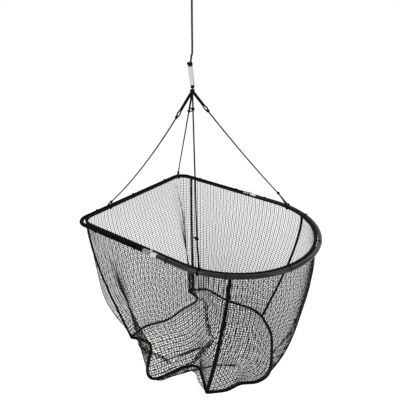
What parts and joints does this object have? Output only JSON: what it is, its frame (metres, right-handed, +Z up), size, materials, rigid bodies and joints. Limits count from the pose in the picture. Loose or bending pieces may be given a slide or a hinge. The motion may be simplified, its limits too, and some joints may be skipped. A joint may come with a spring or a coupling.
{
  "type": "folding drop net",
  "caption": "Folding landing net hung from one rope: a D-shaped tube rim in two hinged halves, cord bridles and a deep sewn net bag.",
  "frame": {"origin": "inside top of the loop at the rope's upper end, where a hand, hook or rail holds the net", "axes": "+Z up along the hanging rope; +X from the rim's straight back bar to its round nose; +Y to the rim's left"},
  "size_m": [0.8165, 0.6216, 1.4434],
  "materials": {
    "black_tube": "black anodised, semi-gloss",
    "zinc_steel": "zinc plated, satin",
    "black_cord": "braided, matte",
    "black_netting": "knotless mesh, matte",
    "black_binding": "woven binding, matte",
    "white_plastic": "smooth, slightly translucent"
  },
  "bodies": {
    "rope_line": {"rope_top_knot": "black_cord", "rope_top_loop": "black_cord", "hauling_rope": "black_cord", "stopper_knot": "black_cord", "rope_sleeve": "white_plastic", "rope_eye": "black_cord"},
    "back_frame": {"bridle_gather_knot": "black_cord", "bridle_back_right": "black_cord", "bridle_back_left": "black_cord", "bridle_nose_left": "black_cord", "bridle_nose_right": "black_cord", "back_tube": "black_tube", "back_tie_1": "black_cord", "back_tie_2": "black_cord", "back_tie_3": "black_cord", "back_tie_4": "black_cord", "back_tie_5": "black_cord", "back_tie_6": "black_cord", "back_tie_7": "black_cord", "back_head_rope": "black_cord", "right_hinge_clevis": "zinc_steel", "right_hinge_bolt": "zinc_steel", "right_hinge_nut": "zinc_steel", "right_hinge_washer_inner": "zinc_steel", "right_hinge_washer_outer": "zinc_steel", "left_hinge_clevis": "zinc_steel", "left_hinge_bolt": "zinc_steel", "left_hinge_nut": "zinc_steel", "left_hinge_washer_inner": "zinc_steel", "left_hinge_washer_outer": "zinc_steel", "right_clevis_rivet": "zinc_steel", "left_clevis_rivet": "zinc_steel", "net_back": "black_netting", "net_side_left": "black_netting", "net_nose": "black_netting", "net_side_right": "black_netting", "net_bottom": "black_netting", "seam_back_right": "black_binding", "seam_back_left": "black_binding", "seam_nose_left": "black_binding", "seam_nose_right": "black_binding", "seam_bottom": "black_binding"},
    "nose_frame": {"nose_tube": "black_tube", "nose_tie_1": "black_cord", "nose_tie_2": "black_cord", "nose_tie_3": "black_cord", "nose_tie_4": "black_cord", "nose_tie_5": "black_cord", "nose_tie_6": "black_cord", "nose_head_rope": "black_cord", "right_hinge_tongue": "zinc_steel", "left_hinge_tongue": "zinc_steel", "right_tongue_rivet": "zinc_steel", "left_tongue_rivet": "zinc_steel"}
  },
  "joints": [
    {"name": "rope_swing", "type": "hinge", "parent": "rope_line", "child": "back_frame", "pos_m": [0, 0, -0.377], "axis": [0, 1, 0], "range_deg": [-30, 30]},
    {"name": "frame_fold", "type": "hinge", "parent": "back_frame", "child": "nose_frame", "pos_m": [0.021, 0.05, -0.8515], "axis": [0, -1, 0], "range_deg": [0, 170], "deforming": ["bridle_back_right", "bridle_back_left", "bridle_nose_left", "bridle_nose_right"]}
  ]
}
